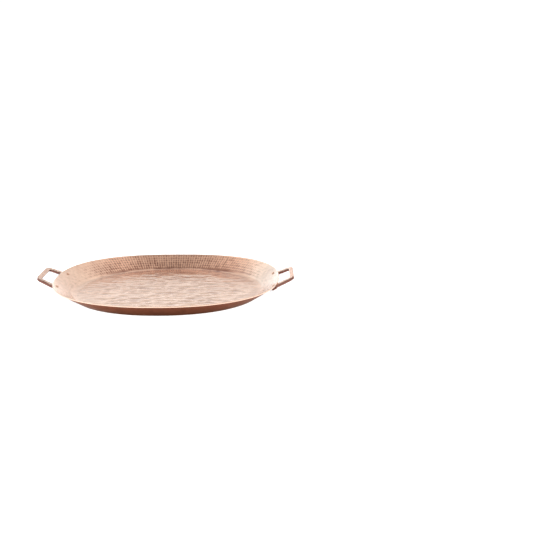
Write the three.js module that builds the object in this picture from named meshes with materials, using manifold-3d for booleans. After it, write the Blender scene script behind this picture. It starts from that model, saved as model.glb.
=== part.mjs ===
// An oval hammered copper serving tray with two riveted bar handles.
// Millimetres, +Z up. The origin is the middle of the underside, +X runs along the tray to the right handle,
// and -Y is the front. Every piece is built where it sits, except the left handle and the rivets, which are
// placed by their mesh's position and rotation.
import * as THREE from "three";
import { LoftGeometry } from "three/addons/geometries/LoftGeometry.js";
import { mergeVertices } from "three/addons/utils/BufferGeometryUtils.js";
import Module from "manifold-3d";

// Tray: two superellipses, one at the foot of the wall and a larger one at the rim.
const RIM_HALF_LENGTH = 317;
const RIM_HALF_WIDTH = 238;
const RIM_POWER = 2.37;
const RIM_HEIGHT = 38.4; // at the middle of the long sides
const RIM_END_RISE = 2.7; // how much higher the rim is at the two ends
const BASE_HALF_LENGTH = 264.5;
const BASE_HALF_WIDTH = 202.5;
const BASE_POWER = 2.13;
const SHEET = 1.5; // thickness of the copper sheet
const FOLD_RADIUS = 5.5; // outside of the fold between floor and wall
const BEAD_RADIUS = 1.5; // the rim's edge, hammered to twice the sheet's thickness
const BEAD_NECK = 5; // where the wall starts to thicken, down from the rim

// Handle: one flat bar bent into a U, with feet that lie along the outside of the wall.
const BAR_WIDTH = 13;
const BAR_DEPTH = 9.5;
const BAR_POWER = 5; // superellipse exponent of the bar's section: a rectangle with rounded edges
const GRIP_REACH = 35.5; // from the rim to the middle of the grip
const GRIP_HALF_SPAN = 47; // from the tray's centre line to the middle of each leg at the grip
const GRIP_HEIGHT = 51.2; // middle of the grip above the underside
const GRIP_CORNER = 11; // length of each corner's bend, each way from where the leg and grip would meet
const FOOT_SPREAD = 57; // along the rim from the tray's end to each foot
const FOOT_LENGTH = 17; // bar that lies against the wall
const FOOT_TOP = 8; // where the bar leaves the wall, down from the rim
const FOOT_BEND = 6; // length of the bend there, each way
const GAP = 0.3; // clearance between touching pieces

// Rivet: head inside the tray, shank through wall and foot, tail hammered over beneath the foot.
const SHANK_RADIUS = 2.5;
const HEAD_RADIUS = 4.4;
const HEAD_HEIGHT = 1.9;
const TAIL_RADIUS = 4;
const TAIL_HEIGHT = 1.6;
const DOME_EDGE = 0.5; // straight side under each dome
const RIVET_FROM_END = 10; // from the foot's cut end to the rivet

// Facets
const COLUMNS = 120;
const FOLD_STEPS = 3;
const BEAD_STEPS = 6;
const BAR_SIDES = 16;
const BEND_STEPS = 5;
const CORNER_STEPS = 8;
const RIVET_SIDES = 20;
const DOME_STEPS = 4;

const wasm = await Module();
wasm.setup();

// A superellipse in the XY plane, counterclockwise from +X.
class Oval extends THREE.Curve {
  constructor(halfLength, halfWidth, power) {
    super();
    this.halfLength = halfLength;
    this.halfWidth = halfWidth;
    this.exponent = 2 / power;
    this.arcLengthDivisions = 1440;
  }

  getPoint(t, target = new THREE.Vector3()) {
    const angle = 2 * Math.PI * t;
    const fuller = (value) => Math.sign(value) * Math.abs(value) ** this.exponent;
    return target.set(this.halfLength * fuller(Math.cos(angle)), this.halfWidth * fuller(Math.sin(angle)), 0);
  }
}

const rimOval = new Oval(RIM_HALF_LENGTH, RIM_HALF_WIDTH, RIM_POWER);
const baseOval = new Oval(BASE_HALF_LENGTH, BASE_HALF_WIDTH, BASE_POWER);

// The wall at a fraction of the way round: the foot and top of its outer face, the directions up it,
// outwards and into the tray, its length and its slope from the floor.
function wallAt(fraction) {
  const foot = baseOval.getPointAt(fraction);
  const top = rimOval.getPointAt(fraction);
  top.z = RIM_HEIGHT + RIM_END_RISE * (top.x / RIM_HALF_LENGTH) ** 2;
  const up = top.clone().sub(foot);
  const length = up.length();
  up.normalize();
  const outward = new THREE.Vector3(up.x, up.y, 0).normalize();
  const slope = Math.asin(up.z);
  const inward = outward.clone().multiplyScalar(-Math.sin(slope)).setZ(Math.cos(slope));
  return { foot, top, up, outward, inward, length, slope };
}

// One column of the tray's skin, from the middle of the underside out and up the outside, over the rim,
// down the inside and back to the middle of the floor.
function trayColumn(fraction) {
  const wall = wallAt(fraction);
  const foldStart = -FOLD_RADIUS * Math.tan(wall.slope / 2);
  const onFold = (radius, step) => {
    const turn = (wall.slope * step) / FOLD_STEPS;
    return wall.foot
      .clone()
      .addScaledVector(wall.outward, foldStart + radius * Math.sin(turn))
      .setZ(FOLD_RADIUS - radius * Math.cos(turn));
  };
  const onWall = (height, inset) =>
    wall.foot.clone().addScaledVector(wall.up, height).addScaledVector(wall.inward, inset);

  const points = [new THREE.Vector3(0, 0, 0)];
  for (let step = 0; step <= FOLD_STEPS; step++) {
    points.push(onFold(FOLD_RADIUS, step));
  }
  points.push(onWall(wall.length - BEAD_NECK, 0));
  for (let step = 0; step <= BEAD_STEPS; step++) {
    const turn = (Math.PI * step) / BEAD_STEPS;
    const height = wall.length - BEAD_RADIUS * (1 - Math.sin(turn));
    points.push(onWall(height, SHEET / 2 - BEAD_RADIUS * Math.cos(turn)));
  }
  points.push(onWall(wall.length - BEAD_NECK, SHEET));
  for (let step = FOLD_STEPS; step >= 0; step--) {
    points.push(onFold(FOLD_RADIUS - SHEET, step));
  }
  points.push(new THREE.Vector3(0, 0, SHEET));
  return points;
}

function trayGeometry() {
  const columns = [];
  for (let column = 0; column < COLUMNS; column++) {
    columns.push(trayColumn(column / COLUMNS));
  }
  const rings = columns[0].map((_, row) => columns.map((points) => points[row]));
  return new LoftGeometry(rings);
}

// The right handle's back foot, where it lies on the wall, and the line of the bar from there to the grip.
const footWall = wallAt(FOOT_SPREAD / rimOval.getLength());
const gripCorner = new THREE.Vector3(RIM_HALF_LENGTH + GRIP_REACH, GRIP_HALF_SPAN, GRIP_HEIGHT);
const footTop = footWall.top
  .clone()
  .addScaledVector(footWall.up, -FOOT_TOP)
  .addScaledVector(footWall.inward, -GAP - BAR_DEPTH / 2);
const legDirection = gripCorner.clone().sub(footTop).normalize();
const footDirection = legDirection.clone().projectOnPlane(footWall.inward).normalize();
const footEnd = footTop.clone().addScaledVector(footDirection, -FOOT_LENGTH);
const gripDirection = new THREE.Vector3(0, -1, 0);
const gripUp = legDirection.clone().cross(new THREE.Vector3(0, 1, 0)).normalize();

// Where the bar's middle goes, which way it runs and which way its upper face looks, from the back foot's
// cut end to the middle of the grip.
function halfBarStations() {
  const bendStart = footTop.clone().addScaledVector(footDirection, -FOOT_BEND);
  const bendEnd = footTop.clone().addScaledVector(legDirection, FOOT_BEND);
  const cornerStart = gripCorner.clone().addScaledVector(legDirection, -GRIP_CORNER);
  const cornerEnd = gripCorner.clone().addScaledVector(gripDirection, GRIP_CORNER);
  const stations = [{ centre: footEnd, along: footDirection, up: footWall.inward }];
  const addBend = (start, control, end, upBefore, upAfter, steps) => {
    const curve = new THREE.QuadraticBezierCurve3(start, control, end);
    for (let step = 0; step <= steps; step++) {
      const t = step / steps;
      const up = upBefore.clone().lerp(upAfter, t);
      stations.push({ centre: curve.getPoint(t), along: curve.getTangent(t), up });
    }
  };
  addBend(bendStart, footTop, bendEnd, footWall.inward, gripUp, BEND_STEPS);
  addBend(cornerStart, gripCorner, cornerEnd, gripUp, gripUp, CORNER_STEPS);
  return stations;
}

// The bar's outline at one station, square to the way it runs.
function barSection({ centre, along, up }) {
  const side = up.clone().cross(along).normalize();
  const level = along.clone().cross(side);
  const outline = new Oval(BAR_WIDTH / 2, BAR_DEPTH / 2, BAR_POWER).getSpacedPoints(BAR_SIDES).slice(0, BAR_SIDES);
  return outline.map((point) =>
    centre.clone().addScaledVector(side, point.x).addScaledVector(level, point.y),
  );
}

function handleGeometry() {
  const half = halfBarStations();
  const otherHalf = half.toReversed().map(({ centre, along, up }) => ({
    centre: new THREE.Vector3(centre.x, -centre.y, centre.z),
    along: new THREE.Vector3(-along.x, along.y, -along.z),
    up: new THREE.Vector3(up.x, -up.y, up.z),
  }));
  const sections = [...half, ...otherHalf].map(barSection);
  return new LoftGeometry(sections, { capStart: true, capEnd: true });
}

// A rivet along Y, with y = 0 on the wall's inner face and its head above that.
function rivetGeometry() {
  const underFoot = -SHEET - GAP - BAR_DEPTH - GAP;
  const dome = (radius, base, height, turn) =>
    new THREE.Vector2(radius * Math.cos(turn), base + height * Math.sin(turn));
  const points = [];
  for (let step = 0; step <= DOME_STEPS; step++) {
    const turn = (Math.PI / 2) * (1 - step / DOME_STEPS);
    points.push(dome(TAIL_RADIUS, underFoot - DOME_EDGE, DOME_EDGE - TAIL_HEIGHT, turn));
  }
  points.push(new THREE.Vector2(TAIL_RADIUS, underFoot));
  points.push(new THREE.Vector2(SHANK_RADIUS, underFoot));
  points.push(new THREE.Vector2(SHANK_RADIUS, GAP));
  points.push(new THREE.Vector2(HEAD_RADIUS, GAP));
  for (let step = 0; step <= DOME_STEPS; step++) {
    const turn = (Math.PI / 2) * (step / DOME_STEPS);
    points.push(dome(HEAD_RADIUS, GAP + DOME_EDGE, HEAD_HEIGHT - DOME_EDGE, turn));
  }
  points[0].x = 0;
  points.at(-1).x = 0;
  return new THREE.LatheGeometry(points, RIVET_SIDES);
}

// The four rivets: each one's place on the wall's inner face and the way its head looks.
function rivetPlaces() {
  const onFoot = footEnd.clone().addScaledVector(footDirection, RIVET_FROM_END);
  const position = onFoot.addScaledVector(footWall.inward, BAR_DEPTH / 2 + GAP + SHEET);
  const places = [];
  for (const [side, x] of [["left", -1], ["right", 1]]) {
    for (const [end, y] of [["front", -1], ["back", 1]]) {
      const mirror = new THREE.Vector3(x, y, 1);
      places.push({
        name: `rivet_${side}_${end}`,
        position: position.clone().multiply(mirror),
        axis: footWall.inward.clone().multiply(mirror),
      });
    }
  }
  return places;
}

function placeAlong(object, { position, axis }) {
  object.position.copy(position);
  object.quaternion.setFromUnitVectors(new THREE.Vector3(0, 1, 0), axis);
  object.updateMatrix();
  return object;
}

function toSolid(geometry, matrix = new THREE.Matrix4()) {
  const bare = new THREE.BufferGeometry().copy(geometry);
  bare.deleteAttribute("normal");
  bare.deleteAttribute("uv");
  const merged = mergeVertices(bare).applyMatrix4(matrix);
  const mesh = new wasm.Mesh({
    numProp: 3,
    vertProperties: merged.attributes.position.array,
    triVerts: new Uint32Array(merged.index.array),
  });
  return new wasm.Manifold(mesh);
}

function toGeometry(solid) {
  const mesh = solid.getMesh();
  const geometry = new THREE.BufferGeometry();
  geometry.setAttribute("position", new THREE.BufferAttribute(mesh.vertProperties, 3));
  geometry.setIndex(new THREE.BufferAttribute(mesh.triVerts, 1));
  geometry.computeVertexNormals();
  return geometry;
}

// Drills every rivet's hole that reaches the piece.
function drilled(geometry, places) {
  const drill = new THREE.CylinderGeometry(SHANK_RADIUS + GAP, SHANK_RADIUS + GAP, 4 * BAR_DEPTH, RIVET_SIDES);
  let solid = toSolid(geometry);
  for (const place of places) {
    solid = solid.subtract(toSolid(drill, placeAlong(new THREE.Object3D(), place).matrix));
  }
  return toGeometry(solid);
}

const COPPER = { color: 0xd9a083, roughness: 0.34, metalness: 1 };
const rivets = rivetPlaces();
const rightRivets = rivets.filter((place) => place.position.x > 0);
const handle = drilled(handleGeometry(), rightRivets);

function copperMesh(name, geometry) {
  const mesh = new THREE.Mesh(geometry, new THREE.MeshStandardMaterial(COPPER));
  mesh.name = name;
  return mesh;
}

const tray = new THREE.Group();
tray.add(copperMesh("tray_body", drilled(trayGeometry(), rivets)));
tray.add(copperMesh("handle_right", handle));
const leftHandle = copperMesh("handle_left", handle);
leftHandle.rotation.z = Math.PI;
tray.add(leftHandle);
for (const place of rivets) {
  tray.add(placeAlong(copperMesh(place.name, rivetGeometry()), place));
}

export default tray;
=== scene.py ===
"""The looks of an oval hammered copper tray with two riveted bar handles.

Metres, +Z up, in the frame of the CAD model: the origin is the middle of the underside, +X runs to the right
handle and -Y is the front. Each CAD node is replaced by a hammered mesh of the same size.
"""

import bpy
import numpy as np
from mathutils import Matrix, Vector


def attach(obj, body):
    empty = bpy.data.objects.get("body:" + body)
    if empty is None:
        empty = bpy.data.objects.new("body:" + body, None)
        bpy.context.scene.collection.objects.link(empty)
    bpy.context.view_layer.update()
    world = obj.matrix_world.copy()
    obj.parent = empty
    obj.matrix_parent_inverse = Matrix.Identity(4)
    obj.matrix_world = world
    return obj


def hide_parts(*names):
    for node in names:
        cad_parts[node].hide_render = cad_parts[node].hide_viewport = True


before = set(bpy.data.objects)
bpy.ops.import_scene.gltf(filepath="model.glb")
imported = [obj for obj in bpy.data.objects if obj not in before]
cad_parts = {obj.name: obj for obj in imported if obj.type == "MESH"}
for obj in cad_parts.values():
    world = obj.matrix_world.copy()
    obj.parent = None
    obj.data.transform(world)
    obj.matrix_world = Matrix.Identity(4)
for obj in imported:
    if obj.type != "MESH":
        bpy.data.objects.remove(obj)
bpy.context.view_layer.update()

MM = 0.001

# Tray, as in the CAD model
RIM_HALF_LENGTH = 317 * MM
RIM_HALF_WIDTH = 238 * MM
RIM_POWER = 2.37
RIM_HEIGHT = 38.4 * MM
RIM_END_RISE = 2.7 * MM
BASE_HALF_LENGTH = 264.5 * MM
BASE_HALF_WIDTH = 202.5 * MM
BASE_POWER = 2.13
SHEET = 1.5 * MM
FOLD_RADIUS = 5.5 * MM
BEAD_RADIUS = 1.5 * MM
BEAD_NECK = 5 * MM

# Handles and rivets, as in the CAD model
BAR_WIDTH = 13 * MM
BAR_DEPTH = 9.5 * MM
BAR_POWER = 5
GRIP_REACH = 35.5 * MM
GRIP_HALF_SPAN = 47 * MM
GRIP_HEIGHT = 51.2 * MM
GRIP_CORNER = 11 * MM
FOOT_SPREAD = 57 * MM
FOOT_LENGTH = 17 * MM
FOOT_TOP = 8 * MM
FOOT_BEND = 6 * MM
GAP = 0.3 * MM
SHANK_RADIUS = 2.5 * MM
HEAD_RADIUS = 4.4 * MM
HEAD_HEIGHT = 1.9 * MM
TAIL_RADIUS = 4 * MM
TAIL_HEIGHT = 1.6 * MM
DOME_EDGE = 0.5 * MM
RIVET_FROM_END = 10 * MM

# Mesh density
DENT_COLUMNS = 220  # hammer marks around the wall
DENT_ROWS = 6  # hammer marks up the wall
COLUMNS = 5 * DENT_COLUMNS  # points around the wall's inside; its outside has half as many
WALL_ROWS = 36
FOLD_STEPS = 3
INSIDE_FOLD_STEPS = 5
BEAD_STEPS = 6
OUTSIDE_ROWS = 12
FLOOR_RINGS = 76
UNDERSIDE_RINGS = 24
CROWDED = 1.24  # a floor's ring drops every other point where they are nearer than this, in edge spacings
BAR_SIDES = 48
BAR_STEP = 1 * MM
RIVET_SIDES = 36
DOME_STEPS = 8

# Shapes that only this visual model has
INSIDE_FOLD = 6 * MM  # radius of the fold inside the tray, halfway along its sides
INSIDE_FOLD_END = 32 * MM  # the same at its ends
PAST_NECK = 2 * MM  # how far the wall's inside runs on over the rim's neck
BAR_CHAMFER = 0.9 * MM  # length of the chamfer at a bar's cut ends
CHAMFER_SLOPE = 0.8
RIVET_TIP = 0.05 * MM  # how far a rivet's middle stays below its full height

# Hammering: how deep each kind of mark is, and how far apart
WALL_DENT = 0.55 * MM
FLOOR_DENT = 1.4 * MM
FLOOR_PITCH_LONG = 27 * MM
FLOOR_PITCH_WIDE = 21 * MM
OUTSIDE_DENT = 0.12 * MM
OUTSIDE_PITCH = 16 * MM
OUTSIDE_MARK_ROWS = 4
BAR_DENT = 0.5 * MM
BAR_PITCH = 8 * MM
RIVET_DENT = 0.18 * MM
RIVET_PITCH = 2.4 * MM

# How each kind of mark varies, as hammer_marks explains. The handles and rivets have a seed each.
WALL_MARKS = {"seed": 7, "jitter": 0.06, "tilt": 0.12, "shallow": 0.75, "steep": (2.5, 1.6)}
FLOOR_MARKS = {"seed": 11, "tilt": 0.5, "steep": (1.5, 3.6)}
UNDERSIDE_MARKS = {"seed": 23}
OUTSIDE_MARKS = {"seed": 31}
BAR_MARKS = {"jitter": 0.12}
BAR_SEEDS = {"right": 51, "left": 57}
RIVET_SEED = 61
PATTERN_ROWS = 512  # how many marks up there are before a pattern repeats
FLOOR_COLUMNS = 96  # and how many across, on the floor and the underside
RIVET_COLUMNS = 64  # and on a rivet

# Where the plain surface lies in the marks, from 0 on their ridges to 1 in their middles, and where they
# are shallower than elsewhere
WALL_LEVEL = 0.5
FLOOR_LEVEL = 0.6
EDGE_CALM = 0.2  # how deep the floor's marks are beside the wall, against the middle
EDGE_CALM_REACH = 0.35  # how far in from the wall they reach their full depth, as a part of the oval
DENT_FADE = 3 * MM  # how far up the wall the dents reach their full depth

# Unevenness: the length of its waves, how strong it is, and its seed
FLOOR_WARP_SIZE = 90 * MM
FLOOR_WARP = 0.5  # in marks along the tray
FLOOR_WARP_WIDE = 0.4  # across the tray, against along it
FLOOR_WARP_SEED = 5
FLOOR_SWELL_SIZE = 160 * MM
FLOOR_SWELL = 0.25 * MM
FLOOR_SWELL_SEED = 17
RIM_WAVE_SIZE = 0.12  # on a circle of radius 1
RIM_WAVE = 0.15 * MM
RIM_WAVE_SEED = 41
WAVE_LENGTHS = (0.6, 1.8)  # the shortest and longest wave, against the size

# Stain and painted shade. A pair is how much a plain surface is darkened and its tone, both from 0 to 1.
# Painted shade: the outside's fold at the foot is darkened fully, for the contact shadow there.
UNDER_FOLD_SHADE = (1.0, 0.5)
NECK = (0.3, 0.5)
RIM_EDGE = (0.3, 0.2)
# Painted shade: a rivet's edges and shank are darker, for the shaded side of its head.
RIVET_EDGE_SHADE = (0.7, 0.6)
OUTSIDE_STAIN = 0.6  # how stained the outside's marks are
OUTSIDE_FOOT_SHADE = 5  # painted shade: the outside is darkened at its foot, as in the floor's shadow, and this fades over one part in this many of the wall
FOOT_STAINED_AND_SHADED = 1.3  # how darkened the inside's marks are at the wall's foot: patina in their hollows, and painted shade
RIM_STAINED_AND_SHADED = 0.75  # and at its rim
END_CLEAN = 0.65  # how much less stained they are at the tray's ends
FLOOR_STAIN_AND_SHADE = (0.2, 0.6)  # the tones at which a mark on the floor begins to be darkened and is fully so: patina and painted shade
FLOOR_END_CLEAN = 0.6  # how much less stained the floor is at its ends
FLOOR_END_POWER = 4
FOLD_STAIN_AND_SHADE = 4 * MM  # how far up the wall the darkening in the inside's fold fades: patina, with painted shade in the crease
FOLD_STAIN_AND_SHADE_FULL = 0.3  # the part of that below which it's full
FOLD_STAIN_AND_SHADE_RATE = 1.5  # how fast it comes in over the fold
FOLD_PATCH = 0.85  # how strong it is in the middle of its range
FOLD_PATCH_WAVE = 0.45  # how much that varies, though never over 1
FOLD_PATCH_LEAST = 0.55
FOLD_PATCH_SIZE = 0.4  # on a circle of radius 1
FOLD_PATCH_SEED = 43
BAR_RIDGE_STAIN_AND_SHADE = 0.9  # a bar is darkened between its facets, this much on a ridge: patina and painted shade

# Polish, from 0 to 1. The floor and the rim have 1. On the handles and the tray's outside it also paints
# light and shade.
END_POLISH = 0.9  # how polished the wall's inside is at the tray's ends
END_POLISH_FROM = 0.6  # where that begins, as a part of the half length
BAR_LIT_TOP = (0.3, 0.4)  # the heights, in bar depths, between which a bar's polish goes from 0 to 1: painted shade under, light on top
RIVET_POLISH = 0.75

# Copper. A noise's scale is in repeats a metre, and its range is the stretch of it that counts.
WARM = (1.0, 0.585, 0.4)
BRIGHT = (0.95, 0.66, 0.49)
DARK_EDGE = (0.85, 0.59, 0.51)
CLOUD = {"scale": 11, "detail": 4}
CLOUD_RANGE = (0.35, 0.68)
CLOUD_WEAR = 0.45
TONE_WEAR = 0.55
WORN_STAIN = 0.3
SPECK = {"scale": 420, "detail": 2}
SPECK_RANGE = (0.5, 0.7)
SPECK_STAIN = 0.2
SCRATCH = {"scale": 60, "detail": 2, "stretch": (1, 22, 1)}
SCRATCH_TURNS = (0.5, -0.9)
SCRATCH_RANGES = ((0.64, 0.72), (0.66, 0.74))
STAIN_RANGE = (0.35, 0.85)
BLOTCH = {"scale": 45, "detail": 3}
BLOTCH_RANGE = (0.3, 0.6, 0.7, 1.0)
RUBBED_RANGE = (0.9, 1, 1.0, 0.5)  # the polish that wears the stain away, and how much of it is left
STREAK = {"scale": 44, "detail": 3, "stretch": (1, 4.6, 1), "turn": 0.04, "roughness": 0.6}
STREAK_RANGE = (0.5, 0.66)
STREAK_POLISH = (0.92, 1)  # streaks lie only where the polish is almost full
WORN_DULL = 0.6
SCRATCH_DULL = 0.4
GRAIN = {"scale": 900, "detail": 3}
GRAIN_HEIGHT = 0.03 * MM
SCRATCH_DEPTH = 0.8  # against the grain
COAT_ROUGHNESS = 0.15

# Camera and picture
CAMERA_PLACE = (0.2836, -1.9342, 0.6705)
CAMERA_TARGET = (0.3069, 0.1415, 0.0)
CAMERA_LENS = 46.62
SENSOR = 36

# Studio floor
GROUND_HALF = 30
GROUND_LIGHT = (0.95, 0.95, 0.95, 1)
GROUND_DARK = (0.93, 0.93, 0.93, 1)
GROUND_SPECK = {"scale": 3, "detail": 2}
GROUND_SPECK_RANGE = (0.3, 0.7)
GROUND_ROUGHNESS = 0.9
GROUND_GLOSS = 0.1

# Light. The sky's levels go by the Y of the direction, from -1 at the front, behind the camera, to 1 at the
# back. Whatever else goes by X, Y or Z is a fade: as that part of the direction runs from the first number
# to the second, the setting runs from the third to the fourth.
SUN_STRENGTH = 11
SUN_ANGLE = 0.3
BACKDROP = 1.05
SKY_LEVELS = (
    (-1.0, 0.5),
    (-0.7, 0.58),
    (-0.385, 0.97),
    (-0.14, 1.12),
    (0.1, 1.02),
    (0.35, 1.2),
    (0.8, 1.06),
)
SKY_GLOW = (0.05, 0.3, 1.6, 1.0)  # what the level is multiplied by, by Z: it is brighter at the horizon
SKY_RIGHT = (-0.1, 0.6, 1.0, 0.82)  # and by X: it is darker on the right

# The sky is cooler on the left, but not overhead. The edge of that part leans to the left with height.
SKY_COOL = (1.0, 1.14, 1.22, 1)  # its colour
SKY_COOL_SIDE = (-0.29, -0.17, 1.0, 0.0)  # how much of it there is, by X and the lean
SKY_COOL_LEAN = 0.3
SKY_COOL_HEIGHT = (0.65, 0.85, 1.0, 0.0)  # and by Z

# A dark place high up, a little left of the middle. It is weaker in a band partway to the back, which lights
# the far floor by way of the wall.
SKY_DIP = 0.41  # how much it takes off the level
SKY_DIP_PLACE = -0.14  # the X of its middle
SKY_DIP_SIDE = (0.12, 0.42, 1.0, 0.0)  # how much of it there is, by how far X is from that
SKY_DIP_HEIGHT = (0.36, 0.62, 0.0, 1.0)  # by Z
SKY_DIP_GAP_PLACE = 0.53  # the Y of the band's middle
SKY_DIP_GAP = (0.2, 0.32, 0.35, 1.0)  # and by how far Y is from that


# ---------------------------------------------------------------- shapes


def signed_power(value, power):
    return np.sign(value) * np.abs(value) ** power


def oval(half_length, half_width, power, count):
    """Points evenly spaced around a superellipse, counterclockwise from +X, and how long it is around."""
    fine = 14400
    angle = np.linspace(0, 2 * np.pi, fine + 1)
    x = half_length * signed_power(np.cos(angle), 2 / power)
    y = half_width * signed_power(np.sin(angle), 2 / power)
    line = np.stack([x, y], 1)
    arc = np.concatenate([[0], np.cumsum(np.linalg.norm(np.diff(line, axis=0), axis=1))])
    want = np.arange(count) / count * arc[-1]
    points = np.stack([np.interp(want, arc, line[:, 0]), np.interp(want, arc, line[:, 1])], 1)
    return points, arc[-1]


class Wall:
    """The wall's outer face at evenly spaced columns: its foot, top, length and slope, and the directions
    up it, level outwards and square off it into the tray."""

    def __init__(self, count):
        rim, self.rim_length = oval(RIM_HALF_LENGTH, RIM_HALF_WIDTH, RIM_POWER, count)
        base, _ = oval(BASE_HALF_LENGTH, BASE_HALF_WIDTH, BASE_POWER, count)
        rise = RIM_HEIGHT + RIM_END_RISE * (rim[:, 0] / RIM_HALF_LENGTH) ** 2
        self.top = np.column_stack([rim, rise])
        self.foot = np.column_stack([base, np.zeros(count)])
        run = self.top - self.foot
        self.length = np.linalg.norm(run, axis=1)[:, None]
        self.up = run / self.length
        flat = run * (1, 1, 0)
        self.outward = flat / np.linalg.norm(flat, axis=1)[:, None]
        self.slope = np.arcsin(self.up[:, 2])[:, None]
        self.inward = self.outward * -np.sin(self.slope) + (0, 0, 1) * np.cos(self.slope)

    def on_wall(self, height, inset):
        """A ring at a height along the slope of the wall, the given inset inside its outer face."""
        return self.foot + self.up * height + self.inward * inset

    def on_fold(self, radius, part, inset=0.0, rise=0.0):
        """A ring on the rounded fold at the wall's foot, which is the given inset above the underside. part
        is 0 at the floor's side and 1 at the wall's, and rise is how far the ring stands off the fold."""
        centre = inset + radius
        turn = self.slope * part
        ring = self.foot + self.outward * ((radius - rise) * np.sin(turn) - centre * np.tan(self.slope / 2))
        return ring + (0, 0, 1) * (centre - (radius - rise) * np.cos(turn))


def hammer_marks(across, along, columns, seed, jitter=0.4, tilt=0.25, shallow=0.6, steep=(2, 2)):
    """How deep a hammered surface is at each point, and each point's mark's own tone, both from 0 to 1.

    across and along are in marks. Each mark is a bowl in its own cell, and a surface point belongs to the
    deepest bowl over it, which leaves sharp ridges between the bowls. The pattern repeats after the given
    number of columns. jitter is how far a bowl strays from the middle of its cell, tilt how far it leans,
    shallow the depth of the shallowest bowl, where the deepest has 1, and steep how fast a bowl rises
    across and along.
    """
    rng = np.random.default_rng(seed)
    rows = PATTERN_ROWS
    shift = rng.uniform(-jitter, jitter, (columns, rows, 2))
    depth = rng.uniform(shallow, 1.0, (columns, rows))
    lean = rng.uniform(-tilt, tilt, (columns, rows, 2))
    shade = rng.uniform(0, 1, (columns, rows))
    cell_x = np.floor(across).astype(int)
    cell_y = np.floor(along).astype(int)
    deepest = np.full(np.shape(across), -1.0)
    tone = np.zeros(np.shape(across))
    for step_x in (-1, 0, 1):
        for step_y in (-1, 0, 1):
            at_x = cell_x + step_x
            at_y = cell_y + step_y
            key = (at_x % columns, at_y % rows)
            off_x = across - (at_x + 0.5 + shift[key][..., 0])
            off_y = along - (at_y + 0.5 + shift[key][..., 1])
            bowl = depth[key] - steep[0] * off_x**2 - steep[1] * off_y**2
            bowl = bowl + lean[key][..., 0] * off_x + lean[key][..., 1] * off_y
            tone = np.where(bowl > deepest, shade[key], tone)
            deepest = np.maximum(deepest, bowl)
    return np.clip(deepest, 0, 1), tone


def waves(x, y, size, seed, count=24):
    """A smooth uneven surface, mostly from -1 to 1: the sum of waves in random directions, over twice its
    own spread."""
    rng = np.random.default_rng(seed)
    total = np.zeros(np.shape(x))
    for _ in range(count):
        heading = rng.uniform(0, 2 * np.pi)
        length = size * rng.uniform(*WAVE_LENGTHS)
        phase = rng.uniform(0, 2 * np.pi)
        total += np.sin((x * np.cos(heading) + y * np.sin(heading)) / length * 2 * np.pi + phase)
    return total / np.sqrt(count / 2) / 2


# ---------------------------------------------------------------- meshes


class Skin:
    """A mesh made ring by ring. Each ring is joined to the one before, and has as many points, half as
    many or twice as many."""

    def __init__(self):
        self.points = []
        self.marks = []
        self.faces = []
        self.finishes = []
        self.total = 0
        self.last = None

    def ring(self, points, finish, marks, polish_and_painted_light):
        """marks is how stained each point is, with painted shade, and its mark's tone. polish is 1 where the
        copper is rubbed bright, and on the handles also where it is painted as lit."""
        count = len(points)
        ids = np.arange(self.total, self.total + count)
        self.points.append(points)
        self.marks.append(np.column_stack([np.broadcast_to(value, count) for value in (*marks, polish_and_painted_light)]))
        self.total += count
        if self.last is not None:
            self.join(self.last, ids, finish)
        self.last = ids

    def join(self, a, b, finish):
        """Faces between two rings, given by their points' numbers."""
        if len(a) == len(b):
            made = np.stack([a, np.roll(a, -1), np.roll(b, -1), b], 1).tolist()
        elif len(a) == 2 * len(b):
            made = self.fan(a, b, 1)
        else:
            made = self.fan(b, a, -1)
        self.add(made, finish)

    @staticmethod
    def fan(many, few, order):
        """Three triangles to each point of the ring that has half as many. An order of -1 turns them
        over."""
        first, middle, last = many[0::2], many[1::2], np.roll(many[0::2], -1)
        here, after = few, np.roll(few, -1)
        made = np.concatenate(
            [
                np.stack([first, middle, here], 1),
                np.stack([middle, after, here], 1),
                np.stack([middle, last, after], 1),
            ]
        )
        return made[:, ::order].tolist()

    def close(self, point, finish):
        """Joins the last ring to one point."""
        self.points.append(np.array([point]))
        self.marks.append(self.marks[-1][:1])
        tip = np.full(len(self.last), self.total)
        self.total += 1
        self.add(np.stack([self.last, np.roll(self.last, -1), tip], 1).tolist(), finish)

    def cap(self, ids, finish):
        """One flat face over a ring."""
        self.add([list(ids)], finish)

    def add(self, faces, finish):
        self.faces += faces
        self.finishes += [finish] * len(faces)

    def build(self, name, materials):
        """The finished object. A face's finish is the number of its material."""
        mesh = bpy.data.meshes.new(name)
        mesh.from_pydata(np.concatenate(self.points), [], self.faces)
        for material in materials:
            mesh.materials.append(material)
        mesh.polygons.foreach_set("material_index", self.finishes)
        mesh.polygons.foreach_set("use_smooth", [True] * len(self.faces))
        marks = np.concatenate(self.marks).astype(np.float32)
        for index, label in enumerate(("stain_and_shade", "tone", "polish_and_painted_light")):
            attribute = mesh.attributes.new(label, "FLOAT", "POINT")
            attribute.data.foreach_set("value", np.ascontiguousarray(marks[:, index]))
        mesh.update()
        piece = bpy.data.objects.new(name, mesh)
        bpy.context.scene.collection.objects.link(piece)
        return piece


def show(piece, node):
    """Puts a piece in the place of a CAD node."""
    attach(piece, "root")
    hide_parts(node)


# ---------------------------------------------------------------- materials


SMOOTH = "SMOOTHSTEP"


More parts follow.
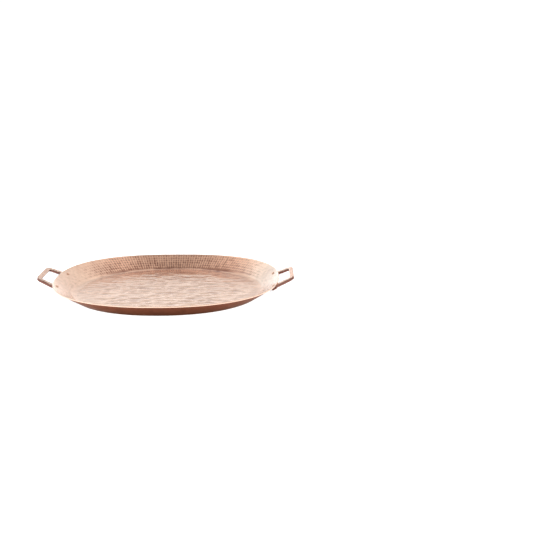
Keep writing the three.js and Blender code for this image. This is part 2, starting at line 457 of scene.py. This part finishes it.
class Nodes:
    """A short way to build a node tree."""

    def __init__(self, tree):
        self.tree = tree

    def add(self, kind, **settings):
        node = self.tree.nodes.new(kind)
        for key, value in settings.items():
            setattr(node, key, value)
        return node

    def put(self, value, socket):
        if isinstance(value, bpy.types.NodeSocket):
            self.tree.links.new(value, socket)
        else:
            socket.default_value = value

    def fill(self, node, values):
        for name, value in values.items():
            self.put(value, node.inputs[name])

    def span(self, value, limits, smooth="LINEAR"):
        """A value brought from the first two limits to the last two, or to 0 and 1 if there are only two."""
        node = self.add("ShaderNodeMapRange", interpolation_type=smooth)
        names = ("From Min", "From Max", "To Min", "To Max")
        self.fill(node, {"Value": value, **dict(zip(names, limits))})
        return node.outputs["Result"]

    def math(self, operation, a, b=0):
        node = self.add("ShaderNodeMath", operation=operation)
        self.put(a, node.inputs[0])
        self.put(b, node.inputs[1])
        return node.outputs["Value"]

    def times(self, a, b):
        return self.math("MULTIPLY", a, b)

    def plus(self, a, b):
        return self.math("ADD", a, b)

    def mix(self, amount, a, b):
        node = self.add("ShaderNodeMix", data_type="RGBA")
        self.fill(node, {"Factor": amount, "A": a, "B": b})
        return node.outputs["Result"]


class Look(Nodes):
    """A material's node tree."""

    def __init__(self, name):
        self.material = bpy.data.materials.new(name)
        self.material.use_nodes = True
        super().__init__(self.material.node_tree)
        self.shader = self.tree.nodes["Principled BSDF"]
        self.place = self.add("ShaderNodeTexCoord").outputs["Object"]

    def point_value(self, label):
        return self.add("ShaderNodeAttribute", attribute_name=label).outputs["Fac"]

    def noise(self, scale, detail, stretch=(1, 1, 1), turn=0.0, roughness=0.5):
        mapping = self.add("ShaderNodeMapping")
        self.fill(mapping, {"Vector": self.place, "Rotation": (0, 0, turn), "Scale": stretch})
        noise = self.add("ShaderNodeTexNoise")
        vector = mapping.outputs["Vector"]
        self.fill(noise, {"Vector": vector, "Scale": scale, "Detail": detail, "Roughness": roughness})
        return noise.outputs["Fac"]

    def bump(self, height, distance):
        node = self.add("ShaderNodeBump")
        self.fill(node, {"Height": height, "Distance": distance})
        self.put(node.outputs["Normal"], self.shader.inputs["Normal"])


def copper(name, aged_and_shaded, rubbed_and_lit, patina, gloss, edge=(1, 1, 1), patina_amount=0.7, coat=0.0, streaks=0.0):
    """Hammered copper. The metal runs from aged to rubbed with the mesh's polish, which on the handles and
    the outside also paints light and shade, and patina lies where the mesh is stained and where shade is
    painted, in specks, and in streaks along the tray where it's polished. gloss is the least and most
    roughness, edge the tint at a low angle and coat the weight of a clear lacquer."""
    look = Look(name)
    tone = look.point_value("tone")
    polish_and_painted_light = look.point_value("polish_and_painted_light")
    cloud = look.span(look.noise(**CLOUD), CLOUD_RANGE)
    worn = look.plus(look.times(cloud, CLOUD_WEAR), look.times(tone, TONE_WEAR))
    metal = look.mix(polish_and_painted_light, (*aged_and_shaded, 1), (*rubbed_and_lit, 1))
    dull = look.mix(look.times(worn, WORN_STAIN), metal, (*patina, 1))

    stain_and_shade = look.times(look.span(look.point_value("stain_and_shade"), STAIN_RANGE), patina_amount)
    stain_and_shade = look.times(stain_and_shade, look.span(look.noise(**BLOTCH), BLOTCH_RANGE))
    stain_and_shade = look.times(stain_and_shade, look.span(polish_and_painted_light, RUBBED_RANGE))
    if streaks:
        lines = look.span(look.noise(**STREAK), (*STREAK_RANGE, 0.0, streaks))
        stain_and_shade = look.math("MAXIMUM", stain_and_shade, look.times(lines, look.span(polish_and_painted_light, STREAK_POLISH)))
    speck = look.span(look.noise(**SPECK), SPECK_RANGE)
    stain_and_shade = look.math("MAXIMUM", stain_and_shade, look.times(speck, SPECK_STAIN))

    scratches = [
        look.span(look.noise(**SCRATCH, turn=turn), limits)
        for turn, limits in zip(SCRATCH_TURNS, SCRATCH_RANGES)
    ]
    scratch = look.math("MAXIMUM", *scratches)
    uneven = look.plus(look.times(worn, WORN_DULL), look.times(scratch, SCRATCH_DULL))
    settings = {
        "Base Color": look.mix(stain_and_shade, dull, (*patina, 1)),
        "Roughness": look.span(uneven, (0, 1, *gloss)),
        "Metallic": 1.0,
        "Specular Tint": (*edge, 1),
        "Coat Weight": coat,
        "Coat Roughness": COAT_ROUGHNESS,
    }
    look.fill(look.shader, settings)
    look.bump(look.plus(look.noise(**GRAIN), look.times(scratch, -SCRATCH_DEPTH)), GRAIN_HEIGHT)
    return look.material


def make_materials():
    return {
        "inside": copper(
            "copper_inside",
            aged_and_shaded=WARM,
            rubbed_and_lit=BRIGHT,
            patina=(0.25, 0.085, 0.046),
            gloss=(0.2, 0.35),
            patina_amount=0.95,
            coat=1.0,
            streaks=0.5,
        ),
        "rim": copper(
            "copper_rim",
            aged_and_shaded=BRIGHT,
            rubbed_and_lit=BRIGHT,
            patina=(0.7, 0.38, 0.26),
            gloss=(0.16, 0.3),
            coat=1.0,
        ),
        # The outside's dark browns are partly patina and partly painted shade, standing in for a shadowed
        # floor's reflection.
        "outside": copper(
            "copper_outside_patina_and_shade",
            aged_and_shaded=(0.05, 0.019, 0.0125),
            rubbed_and_lit=(0.175, 0.062, 0.039),
            patina=(0.028, 0.012, 0.008),
            gloss=(0.34, 0.5),
            edge=DARK_EDGE,
            patina_amount=0.6,
        ),
        # Painted light and shade: a handle is dark brown underneath and rubbed bright on top.
        "bar": copper(
            "copper_bar_lit_and_shaded",
            aged_and_shaded=(0.16, 0.05, 0.029),
            rubbed_and_lit=(0.98, 0.76, 0.62),
            patina=(0.15, 0.052, 0.032),
            gloss=(0.2, 0.36),
            edge=DARK_EDGE,
            patina_amount=1.0,
            coat=0.8,
        ),
        "rivet": copper(
            "copper_rivet",
            aged_and_shaded=WARM,
            rubbed_and_lit=BRIGHT,
            patina=(0.45, 0.2, 0.12),
            gloss=(0.18, 0.34),
        ),
    }


# ---------------------------------------------------------------- tray


INSIDE, RIM, OUTSIDE = range(3)  # the tray's finishes
PLAIN = 0  # the only finish of a handle or rivet


def add_floor(skin, edge, level, marks_at, finish, rings, polish_and_painted_light):
    """Fills the oval inside the edge ring, with fewer points to a ring towards the middle."""
    ring = edge[:, :2]
    for step in range(1, rings):
        part = 1 - step / rings
        if len(ring) % 2 == 0 and part < CROWDED * len(ring) / len(edge):
            ring = ring[::2]
        flat = ring * part
        rise, marks = marks_at(flat)
        skin.ring(np.column_stack([flat, level + rise]), finish, marks, polish_and_painted_light)
    rise, _ = marks_at(np.zeros((1, 2)))
    skin.close((0, 0, level + rise[0]), finish)


def floor_marks(flat):
    """The floor's hammer marks, broad and lying along the tray: how much higher than its plain level the
    floor is at each point, and the point's stain and tone. The stain is partly patina, partly painted shade."""
    x, y = flat[:, 0], flat[:, 1]
    warp = waves(x, y, FLOOR_WARP_SIZE, FLOOR_WARP_SEED) * FLOOR_WARP
    right = x / FLOOR_PITCH_LONG + warp
    back = y / FLOOR_PITCH_WIDE - warp * FLOOR_WARP_WIDE
    bowl, tone = hammer_marks(right, back, FLOOR_COLUMNS, **FLOOR_MARKS)
    swell = waves(x, y, FLOOR_SWELL_SIZE, FLOOR_SWELL_SEED) * FLOOR_SWELL
    from_middle = np.abs(x / BASE_HALF_LENGTH) ** BASE_POWER + np.abs(y / BASE_HALF_WIDTH) ** BASE_POWER
    from_edge = 1 - from_middle ** (1 / BASE_POWER)
    depth = FLOOR_DENT * (EDGE_CALM + (1 - EDGE_CALM) * np.clip(from_edge / EDGE_CALM_REACH, 0, 1))
    least, full = FLOOR_STAIN_AND_SHADE
    stain_and_shade = bowl * np.clip((tone - least) / (full - least), 0, 1)
    stain_and_shade = stain_and_shade * (1 - FLOOR_END_CLEAN * (x / BASE_HALF_LENGTH) ** FLOOR_END_POWER)
    return (FLOOR_LEVEL - bowl) * depth + swell, (stain_and_shade, tone)


def underside_marks(flat):
    """Faint marks on the underside, all above the surface that the tray stands on."""
    x, y = flat[:, 0] / OUTSIDE_PITCH, flat[:, 1] / OUTSIDE_PITCH
    marks = hammer_marks(x, y, FLOOR_COLUMNS, **UNDERSIDE_MARKS)
    return marks[0] * OUTSIDE_DENT, marks


def outside_rings():
    """The outside of the fold and the wall, from the underside's edge up to the rim's neck. Each ring
    comes with its stain and tone, and its polish. Both paint shade at the foot, darker towards the floor."""
    count = COLUMNS // 2
    wall = Wall(count)
    columns = round(wall.rim_length / OUTSIDE_PITCH)
    around = np.arange(count) / count * columns
    rings = []
    for step in range(FOLD_STEPS + 1):
        # Painted shade: the fold at the foot is darkened and left unpolished, for the contact shadow.
        rings.append((wall.on_fold(FOLD_RADIUS, step / FOLD_STEPS), UNDER_FOLD_SHADE, 0.0))
    low = FOLD_RADIUS * np.tan(wall.slope / 2)
    high = wall.length - BEAD_NECK
    for step in range(1, OUTSIDE_ROWS):
        part = step / OUTSIDE_ROWS
        bowl, tone = hammer_marks(around, np.full(count, part * OUTSIDE_MARK_ROWS), columns, **OUTSIDE_MARKS)
        # Painted shade: darker towards the foot, with more stain and less polish lower down.
        stain_and_shade = np.maximum(bowl * OUTSIDE_STAIN, 1 - part * OUTSIDE_FOOT_SHADE)
        ring = wall.on_wall(low + (high - low) * part, bowl[:, None] * OUTSIDE_DENT)
        rings.append((ring, (stain_and_shade, tone), part))
    rings.append((wall.on_wall(high, 0), NECK, 1.0))
    return rings


def add_rim(skin, wall, angle):
    """Over the rim's bead, whose edge is a little uneven."""
    uneven = waves(np.cos(angle), np.sin(angle), RIM_WAVE_SIZE, RIM_WAVE_SEED)[:, None] * RIM_WAVE
    for step in range(BEAD_STEPS + 1):
        turn = np.pi * step / BEAD_STEPS
        height = wall.length - BEAD_RADIUS * (1 - np.sin(turn)) + uneven * np.sin(turn)
        skin.ring(wall.on_wall(height, SHEET / 2 - BEAD_RADIUS * np.cos(turn)), RIM, RIM_EDGE, 1.0)


def add_inside(skin, wall, angle):
    """Down the wall's inside, in even rows of marks, round the fold and over the floor."""
    fold = INSIDE_FOLD + (INSIDE_FOLD_END - INSIDE_FOLD) * (wall.top[:, :1] / RIM_HALF_LENGTH) ** 2
    low = (SHEET + fold) * np.tan(wall.slope / 2)
    high = wall.length - BEAD_NECK + PAST_NECK
    across = np.arange(COLUMNS) * DENT_COLUMNS / COLUMNS
    from_middle = np.abs(wall.top[:, 0]) / RIM_HALF_LENGTH
    end_polish = np.clip((from_middle - END_POLISH_FROM) / (1 - END_POLISH_FROM), 0, END_POLISH)
    patches = FOLD_PATCH_WAVE * waves(np.cos(angle), np.sin(angle), FOLD_PATCH_SIZE, FOLD_PATCH_SEED)
    patches = np.clip(FOLD_PATCH + patches, FOLD_PATCH_LEAST, 1) * (1 - end_polish)

    for step in range(WALL_ROWS, -1, -1):
        part = step / WALL_ROWS
        bowl, tone = hammer_marks(across, np.full(COLUMNS, part * DENT_ROWS), DENT_COLUMNS, **WALL_MARKS)
        height = low + (high - low) * part
        above = height[:, 0] - low[:, 0]
        depth = WALL_DENT * np.clip(above / DENT_FADE, 0, 1)
        inset = SHEET + (WALL_LEVEL - bowl) * depth
        # Darkened hollows, more at the foot than at the rim: partly patina, partly painted shade.
        stain_and_shade = bowl * (FOOT_STAINED_AND_SHADED + (RIM_STAINED_AND_SHADED - FOOT_STAINED_AND_SHADED) * part)
        # Patina and painted shade in the crease at the wall's foot, in uneven patches.
        foot_stain_and_shade = np.clip(1 + FOLD_STAIN_AND_SHADE_FULL - above / FOLD_STAIN_AND_SHADE, 0, 1) * patches
        stain_and_shade = np.maximum(stain_and_shade * (1 - END_CLEAN * end_polish**2), foot_stain_and_shade)
        skin.ring(wall.on_wall(height, inset[:, None]), INSIDE, (stain_and_shade, tone), end_polish)

    for step in range(INSIDE_FOLD_STEPS - 1, -1, -1):
        part = step / INSIDE_FOLD_STEPS
        plain = wall.on_fold(fold, part, SHEET)
        rise, (stain_and_shade, tone) = floor_marks(plain[:, :2])
        ring = wall.on_fold(fold, part, SHEET, (rise * (1 - part))[:, None])
        # Patina and painted shade over the fold, which dims its bright reflection.
        stain_and_shade = np.maximum(stain_and_shade, np.minimum(part * FOLD_STAIN_AND_SHADE_RATE, 1) * patches)
        skin.ring(ring, INSIDE, (stain_and_shade, tone), np.maximum(1 - part, end_polish))
    add_floor(skin, wall.on_fold(fold, 0, SHEET), SHEET, floor_marks, INSIDE, FLOOR_RINGS, 1.0)


def make_tray(materials):
    """One closed skin: up the outside, over the rim, down the inside and over the floor, and last the
    underside, on the ring that the skin began with."""
    skin = Skin()
    rings = outside_rings()
    for ring, marks, polish_and_painted_light in rings:
        skin.ring(ring, OUTSIDE, marks, polish_and_painted_light)
    wall = Wall(COLUMNS)
    angle = 2 * np.pi * np.arange(COLUMNS) / COLUMNS
    add_rim(skin, wall, angle)
    add_inside(skin, wall, angle)
    edge = rings[0][0][::-1]
    skin.last = np.arange(len(edge))[::-1]
    add_floor(skin, edge, 0, underside_marks, OUTSIDE, UNDERSIDE_RINGS, 0.0)
    piece = skin.build("tray_hammered", [materials[key] for key in ("inside", "rim", "outside")])
    show(piece, "tray_body")


# ---------------------------------------------------------------- handles and rivets


def unit(vector):
    return vector / np.linalg.norm(vector)


def foot_frame():
    """The back foot of the right handle: the wall there, the bar's middle where it leaves the wall, and
    the directions of its foot and of its leg."""
    count = 20000
    wall = Wall(count)
    at = round(FOOT_SPREAD / wall.rim_length * count)
    inward, up = wall.inward[at], wall.up[at]
    top = wall.top[at] - up * FOOT_TOP - inward * (GAP + BAR_DEPTH / 2)
    corner = np.array([RIM_HALF_LENGTH + GRIP_REACH, GRIP_HALF_SPAN, GRIP_HEIGHT])
    leg = unit(corner - top)
    foot = unit(leg - inward * (leg @ inward))
    return {"inward": inward, "top": top, "corner": corner, "leg": leg, "foot": foot}


def bend(start, control, end, t):
    """A point on a quadratic Bezier curve, and the way it runs there."""
    point = start * (1 - t) ** 2 + control * 2 * t * (1 - t) + end * t**2
    return point, unit((control - start) * (1 - t) + (end - control) * t)


def bar_stations(place):
    """The bar's middle, heading and upper face from the back foot's cut end to the middle of the grip."""
    foot_end = place["top"] - place["foot"] * FOOT_LENGTH
    grip = np.array([0.0, -1.0, 0.0])
    grip_up = unit(np.cross(place["leg"], (0, 1, 0)))
    bend_start = place["top"] - place["foot"] * FOOT_BEND
    bend_end = place["top"] + place["leg"] * FOOT_BEND
    corner_start = place["corner"] - place["leg"] * GRIP_CORNER
    corner_end = place["corner"] + grip * GRIP_CORNER
    middle = corner_end * (1, 0, 1)
    stations = []

    def straight(start, end, up):
        length = np.linalg.norm(end - start)
        for t in np.arange(0, 1, BAR_STEP / length):
            stations.append((start + (end - start) * t, unit(end - start), up))

    def curved(start, control, end, before, after):
        length = np.linalg.norm(control - start) + np.linalg.norm(end - control)
        for t in np.arange(0, 1, BAR_STEP / length):
            point, heading = bend(start, control, end, t)
            stations.append((point, heading, unit(before * (1 - t) + after * t)))

    straight(foot_end, bend_start, place["inward"])
    curved(bend_start, place["top"], bend_end, place["inward"], grip_up)
    straight(bend_end, corner_start, grip_up)
    curved(corner_start, place["corner"], corner_end, grip_up, grip_up)
    straight(corner_end, middle, grip_up)
    return stations


def make_handle(name, node, materials, place, side, seed):
    """One bar, hammered all over. side is 1 for the right handle and -1 for the left."""
    half = bar_stations(place)
    flip = np.array([1, -1, 1])
    other = [(centre * flip, -heading * flip, up * flip) for centre, heading, up in reversed(half)]
    stations = half + other
    centres = np.array([centre for centre, _, _ in stations])
    run = np.concatenate([[0], np.cumsum(np.linalg.norm(np.diff(centres, axis=0), axis=1))])
    outline, around = oval(BAR_WIDTH / 2, BAR_DEPTH / 2, BAR_POWER, BAR_SIDES)
    reach = np.linalg.norm(outline, axis=1)
    columns = round(around / BAR_PITCH)
    around_marks = np.arange(BAR_SIDES) / BAR_SIDES * columns + 0.5
    # Painted light: the bar is bright on top and dark below, by height.
    least, full = BAR_LIT_TOP
    polish_and_painted_light = np.clip((outline[:, 1] / BAR_DEPTH - least) / (full - least), 0, 1)
    skin = Skin()
    for (centre, heading, up), at in zip(stations, run):
        across = unit(np.cross(up, heading))
        level = np.cross(heading, across)
        along = np.full(BAR_SIDES, at / BAR_PITCH)
        bowl, tone = hammer_marks(around_marks, along, columns, seed, **BAR_MARKS)
        shrink = max(0.0, BAR_CHAMFER - min(at, run[-1] - at)) * CHAMFER_SLOPE
        scale = 1 - (bowl * BAR_DENT + shrink) / reach
        ring = centre + np.outer(outline[:, 0] * scale, across) + np.outer(outline[:, 1] * scale, level)
        skin.ring(ring * (side, side, 1), PLAIN, (BAR_RIDGE_STAIN_AND_SHADE - bowl, tone), polish_and_painted_light)
    skin.cap(skin.last, PLAIN)
    skin.cap(np.arange(BAR_SIDES)[::-1], PLAIN)
    piece = skin.build(name, [materials["bar"]])
    show(piece, node)


def dome(radius, height, steps):
    """A dome above its edge: each ring's radius and height, from the edge up, without the tip."""
    rises = [np.pi / 2 * (step + 1) / (steps + 1) for step in range(steps)]
    return [(radius * np.cos(rise), height * np.sin(rise)) for rise in rises]


def rivet_profile(under):
    """A rivet's rings from tail to head: radius, height over the wall's inside, and how far a full hammer
    mark moves it. under is the height of the foot's underside."""
    profile = []
    for radius, height in reversed(dome(TAIL_RADIUS, TAIL_HEIGHT - DOME_EDGE, DOME_STEPS)):
        profile.append((radius, under - DOME_EDGE - height, RIVET_DENT))
    profile += [(TAIL_RADIUS, under - DOME_EDGE, 0), (TAIL_RADIUS, under, 0), (SHANK_RADIUS, under, 0)]
    profile += [(SHANK_RADIUS, GAP, 0), (HEAD_RADIUS, GAP / 2, 0), (HEAD_RADIUS, GAP + DOME_EDGE, 0)]
    for radius, height in dome(HEAD_RADIUS, HEAD_HEIGHT - DOME_EDGE, DOME_STEPS):
        profile.append((radius, GAP + DOME_EDGE + height, -RIVET_DENT))
    return profile


def make_rivet(name, node, materials, place, mirror, seed):
    """A solid rivet: hammered dome inside the wall, shank, and flatter tail under the foot."""
    axis = place["inward"] * mirror
    on_foot = place["top"] - place["foot"] * (FOOT_LENGTH - RIVET_FROM_END)
    middle = (on_foot + place["inward"] * (BAR_DEPTH / 2 + GAP + SHEET)) * mirror
    first = unit(np.cross(axis, (0, 1, 0)))
    second = np.cross(axis, first)
    under = -SHEET - GAP - BAR_DEPTH - GAP
    turn = 2 * np.pi * np.arange(RIVET_SIDES) / RIVET_SIDES
    skin = Skin()
    for radius, height, push in rivet_profile(under):
        x, y = radius * np.cos(turn), radius * np.sin(turn)
        marks = hammer_marks(x / RIVET_PITCH + seed, y / RIVET_PITCH + seed, RIVET_COLUMNS, seed)
        ring = middle + np.outer(x, first) + np.outer(y, second) + np.outer(height + marks[0] * push, axis)
        # Painted shade on the edges and the shank, for the head's shaded side.
        skin.ring(ring, PLAIN, marks if push else RIVET_EDGE_SHADE, RIVET_POLISH)
    skin.close(middle + axis * (GAP + HEAD_HEIGHT - RIVET_TIP), PLAIN)
    skin.last = np.arange(RIVET_SIDES)[::-1]
    skin.close(middle + axis * (under - TAIL_HEIGHT + RIVET_TIP), PLAIN)
    piece = skin.build(name, [materials["rivet"]])
    show(piece, node)


# ---------------------------------------------------------------- studio


def aim(thing, target):
    thing.rotation_euler = (Vector(target) - thing.location).to_track_quat("-Z", "Y").to_euler()


def add_camera():
    data = bpy.data.cameras.new("camera")
    data.lens = CAMERA_LENS
    data.sensor_width = SENSOR
    camera = bpy.data.objects.new("camera", data)
    bpy.context.scene.collection.objects.link(camera)
    camera.location = CAMERA_PLACE
    aim(camera, CAMERA_TARGET)
    bpy.context.scene.camera = camera


def add_ground():
    """A plain, almost white floor that runs to the horizon."""
    look = Look("studio_floor")
    speck = look.span(look.noise(**GROUND_SPECK), GROUND_SPECK_RANGE)
    settings = {
        "Base Color": look.mix(speck, GROUND_DARK, GROUND_LIGHT),
        "Roughness": GROUND_ROUGHNESS,
        "Specular IOR Level": GROUND_GLOSS,
    }
    look.fill(look.shader, settings)
    corners = [(x * GROUND_HALF, y * GROUND_HALF, 0) for x, y in ((-1, -1), (1, -1), (1, 1), (-1, 1))]
    mesh = bpy.data.meshes.new("floor")
    mesh.from_pydata(corners, [], [(0, 1, 2, 3)])
    mesh.materials.append(look.material)
    floor = bpy.data.objects.new("floor", mesh)
    bpy.context.scene.collection.objects.link(floor)


def add_sun():
    """A light from the camera's place, for the floor only: it stays out of reflections, and its shadows lie
    behind the tray."""
    data = bpy.data.lights.new("sun", "SUN")
    data.energy = SUN_STRENGTH
    data.angle = SUN_ANGLE
    sun = bpy.data.objects.new("sun", data)
    sun.location = CAMERA_PLACE
    sun.visible_glossy = False
    bpy.context.scene.collection.objects.link(sun)
    aim(sun, (0, 0, 0))


def sky_level(nodes, x, y, z):
    """How bright the sky is in the direction x, y, z."""
    ramp = nodes.add("ShaderNodeValToRGB")
    nodes.put(nodes.span(y, (-1, 1)), ramp.inputs["Fac"])
    elements = ramp.color_ramp.elements
    while len(elements) < len(SKY_LEVELS):
        elements.new(0.5)
    for element, (place, level) in zip(elements, SKY_LEVELS):
        element.position = (place + 1) / 2
        element.color = (level, level, level, 1)

    from_dip = nodes.math("ABSOLUTE", nodes.math("SUBTRACT", x, SKY_DIP_PLACE))
    from_gap = nodes.math("ABSOLUTE", nodes.math("SUBTRACT", y, SKY_DIP_GAP_PLACE))
    dip = nodes.times(nodes.span(from_dip, SKY_DIP_SIDE, SMOOTH), nodes.span(z, SKY_DIP_HEIGHT, SMOOTH))
    dip = nodes.times(dip, nodes.times(nodes.span(from_gap, SKY_DIP_GAP, SMOOTH), SKY_DIP))
    across = nodes.times(ramp.outputs["Color"], nodes.span(x, SKY_RIGHT))
    return nodes.times(across, nodes.times(nodes.span(z, SKY_GLOW, SMOOTH), nodes.math("SUBTRACT", 1, dip)))


def sky_colour(nodes, x, z):
    """White, but cool on the left."""
    lean = nodes.plus(x, nodes.times(z, SKY_COOL_LEAN))
    cool = nodes.times(nodes.span(lean, SKY_COOL_SIDE, SMOOTH), nodes.span(z, SKY_COOL_HEIGHT, SMOOTH))
    return nodes.mix(cool, (1, 1, 1, 1), SKY_COOL)


def add_sky():
    """The room around the tray, as the light settings describe it. The camera itself sees a plain white
    backdrop in its place."""
    world = bpy.data.worlds.new("studio")
    bpy.context.scene.world = world
    world.use_nodes = True
    nodes = Nodes(world.node_tree)
    split = nodes.add("ShaderNodeSeparateXYZ")
    nodes.put(nodes.add("ShaderNodeTexCoord").outputs["Generated"], split.inputs["Vector"])
    x, y, z = split.outputs
    seen = nodes.add("ShaderNodeMix")
    by_camera = nodes.add("ShaderNodeLightPath").outputs["Is Camera Ray"]
    nodes.fill(seen, {"Factor": by_camera, "A": sky_level(nodes, x, y, z), "B": BACKDROP})
    background = nodes.tree.nodes["Background"]
    nodes.fill(background, {"Color": sky_colour(nodes, x, z), "Strength": seen.outputs["Result"]})


MATERIALS = make_materials()
PLACE = foot_frame()
make_tray(MATERIALS)
for side_name, side in (("right", 1), ("left", -1)):
    node = f"handle_{side_name}"
    make_handle(f"handle_bar_{side_name}", node, MATERIALS, PLACE, side, BAR_SEEDS[side_name])
for side_name, x in (("left", -1), ("right", 1)):
    for end_name, y in (("front", -1), ("back", 1)):
        name = f"{side_name}_{end_name}"
        seed = RIVET_SEED + 2 * x + y
        make_rivet(f"rivet_peened_{name}", f"rivet_{name}", MATERIALS, PLACE, np.array([x, y, 1]), seed)
bpy.context.scene.view_settings.view_transform = "Standard"
add_camera()
add_ground()
add_sun()
add_sky()
